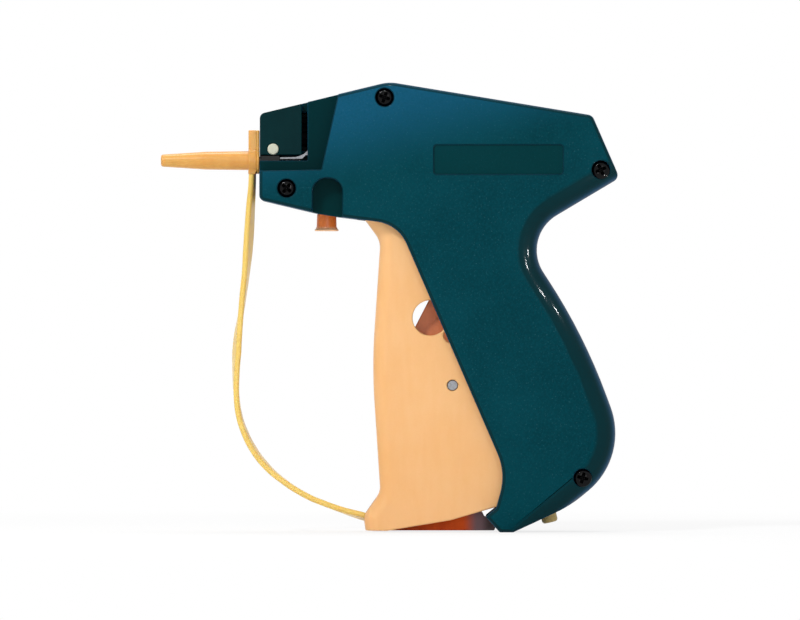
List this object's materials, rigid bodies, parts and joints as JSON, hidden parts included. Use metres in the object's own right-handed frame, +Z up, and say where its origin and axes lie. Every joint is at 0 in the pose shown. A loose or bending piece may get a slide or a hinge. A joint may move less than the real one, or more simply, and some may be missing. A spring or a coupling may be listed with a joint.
{
  "type": "garment tag attacher",
  "caption": "Pistol-grip tool that pushes plastic tag fasteners through a hollow needle, with a squeeze trigger and a strapped needle cover.",
  "frame": {"origin": "middle of the whole tool's outline on the surface that the foot of the grip stands on", "axes": "+Z up along the height, -X along the needle, -Y out of the side with the screws and the open nose recess"},
  "size_m": [0.1326, 0.025, 0.1302],
  "materials": {
    "casing_plastic": "deep teal injection-moulded plastic with a fine spark texture",
    "nose_plastic": "darker teal moulded plastic",
    "yellow_plastic": "amber yellow moulded plastic",
    "cover_plastic": "pale amber flexible plastic",
    "knob_plastic": "orange brown moulded plastic",
    "peg_plastic": "khaki yellow plastic",
    "lever_plastic": "orange moulded acetal",
    "pale_plastic": "natural acetal",
    "blackened_steel": "black oxide steel",
    "bright_steel": "plain turned steel",
    "spring_steel": "drawn spring wire"
  },
  "bodies": {
    "casing": {"left_shell": "casing_plastic", "right_shell": "casing_plastic", "shell_screws": "blackened_steel", "nose_block": "nose_plastic", "nose_pin": "pale_plastic", "clip_guide": "nose_plastic", "feed_axle": "bright_steel", "check_spring": "spring_steel", "cutter_blade": "bright_steel", "needle": "bright_steel", "needle_hub": "bright_steel", "clamp_plate": "bright_steel", "strap_socket": "nose_plastic", "base_peg": "peg_plastic", "trigger_pin": "bright_steel", "fulcrum_pin": "bright_steel", "rod_guide": "nose_plastic", "spring_seat": "nose_plastic", "return_spring": "spring_steel"},
    "trigger": {"trigger": "yellow_plastic", "link_pin": "bright_steel"},
    "drive_lever": {"drive_lever": "lever_plastic"},
    "carriage": {"carriage": "pale_plastic", "drive_pin": "bright_steel", "push_rod": "bright_steel"},
    "feed_wheel": {"feed_wheel": "pale_plastic"},
    "feed_pawl": {"feed_pawl": "pale_plastic"},
    "needle_cover": {"needle_cap": "cover_plastic", "cap_strap": "cover_plastic", "strap_wedge": "knob_plastic"},
    "lock_knob": {"lock_knob": "knob_plastic"}
  },
  "joints": [
    {"name": "trigger_squeeze", "type": "hinge", "parent": "casing", "child": "trigger", "pos_m": [0.00175, 0, 0.09627], "axis": [0, -1, 0], "range_deg": [0, 14], "stiffness_Nm_per_rad": 0.6, "springref_deg": -14.32},
    {"name": "lever_swing", "type": "hinge", "parent": "casing", "child": "drive_lever", "pos_m": [0.02698, 0, 0.06206], "axis": [0, -1, 0], "range_deg": [0, 37.1], "deforming": ["return_spring"]},
    {"name": "carriage_slide", "type": "slide", "parent": "casing", "child": "carriage", "axis": [-1, 0, 0], "range_m": [0, 0.0306]},
    {"name": "feed_wheel_turn", "type": "hinge", "parent": "casing", "child": "feed_wheel", "pos_m": [-0.02441, 0.0057, 0.11628], "axis": [1, 0, 0], "range_deg": [0, 30]},
    {"name": "feed_pawl_slide", "type": "slide", "parent": "casing", "child": "feed_pawl", "axis": [0, 0, 1], "range_m": [0, 0.0026]},
    {"name": "cover_pull", "type": "slide", "parent": "casing", "child": "needle_cover", "axis": [-1, 0, 0], "range_m": [0, 0.045]},
    {"name": "knob_turn", "type": "hinge", "parent": "casing", "child": "lock_knob", "pos_m": [-0.01812, 0, 0.09192], "axis": [0, 0, 1], "range_deg": [0, 90]}
  ],
  "couplings": [
    {"joint": "lever_swing", "follows": "trigger_squeeze", "ratio": 2.646},
    {"joint": "carriage_slide", "follows": "trigger_squeeze", "m_per_rad": 0.12475},
    {"joint": "feed_wheel_turn", "follows": "trigger_squeeze", "ratio": 2.142},
    {"joint": "feed_pawl_slide", "follows": "trigger_squeeze", "m_per_rad": 0.01023}
  ]
}
